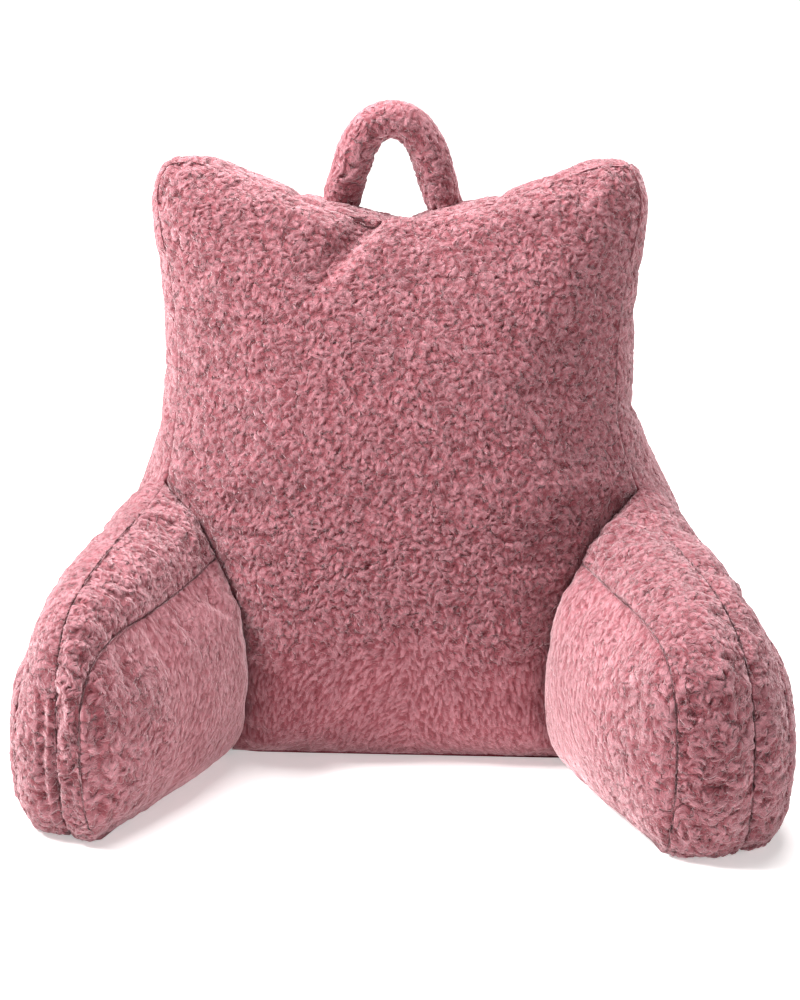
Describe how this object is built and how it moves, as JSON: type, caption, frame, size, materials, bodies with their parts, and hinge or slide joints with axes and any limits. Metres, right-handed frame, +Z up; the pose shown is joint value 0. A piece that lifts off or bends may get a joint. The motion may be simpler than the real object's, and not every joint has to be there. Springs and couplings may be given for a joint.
{
  "type": "reading pillow",
  "caption": "Plush reading pillow with a high eared backrest, two forward arms that rest on the seat, and a padded carry handle on top",
  "frame": {"origin": "on the floor, under the middle of the pillow's bounding box", "axes": "+Z up, +X to the pillow's own left as the sitter faces it looking along +Y, the sitter sits on the -Y side between the arms, +Y towards the back"},
  "size_m": [0.7342, 0.4804, 0.6405],
  "materials": {
    "plush": "dusty rose long-pile plush, matt"
  },
  "bodies": {
    "root": {"arm_band_left": "plush", "arm_band_right": "plush", "arm_inner_left": "plush", "arm_inner_right": "plush", "arm_outer_left": "plush", "arm_outer_right": "plush", "back_panel": "plush", "front_panel": "plush", "gusset_left": "plush", "gusset_right": "plush", "gusset_top": "plush", "handle": "plush"}
  },
  "joints": []
}
